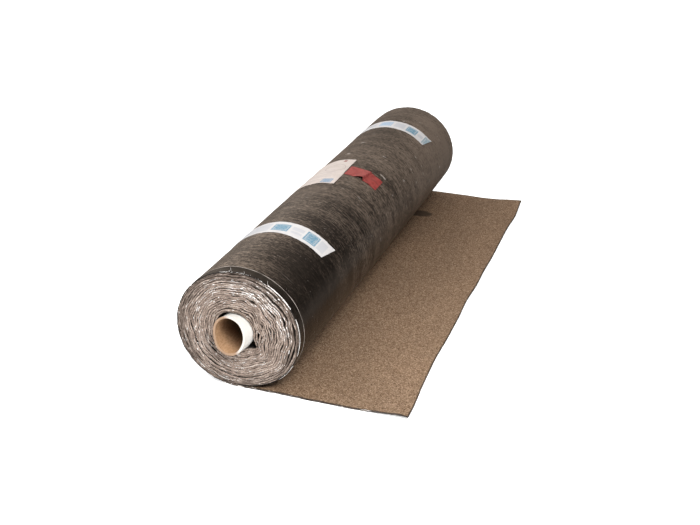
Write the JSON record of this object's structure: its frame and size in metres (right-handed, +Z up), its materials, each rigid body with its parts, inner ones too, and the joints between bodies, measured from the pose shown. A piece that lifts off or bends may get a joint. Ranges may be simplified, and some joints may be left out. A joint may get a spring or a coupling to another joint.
{
  "type": "roll of roofing felt",
  "caption": "Roll of mineral-faced bitumen roofing felt on a cardboard core, lying on the floor with its loose end run out flat, with paper bands, a label and tape.",
  "frame": {"origin": "on the floor, under the middle of the whole part's box", "axes": "+Y along the roll's axis, +X the way the loose end runs out, +Z up"},
  "size_m": [0.3707, 1.04, 0.2007],
  "materials": {
    "felt": "bitumen felt, brown mineral granules on the upper side and thin dark film on the outer side of the roll",
    "cardboard": "spiral-wound board with a white outer paper",
    "band_paper": "white paper tape with plain blue blocks",
    "label_paper": "pinkish white paper",
    "red_tape": "red adhesive tape"
  },
  "bodies": {
    "root": {"felt": "felt", "core_tube": "cardboard", "band_near": "band_paper", "band_far": "band_paper", "label": "label_paper", "red_tape": "red_tape"}
  },
  "joints": []
}
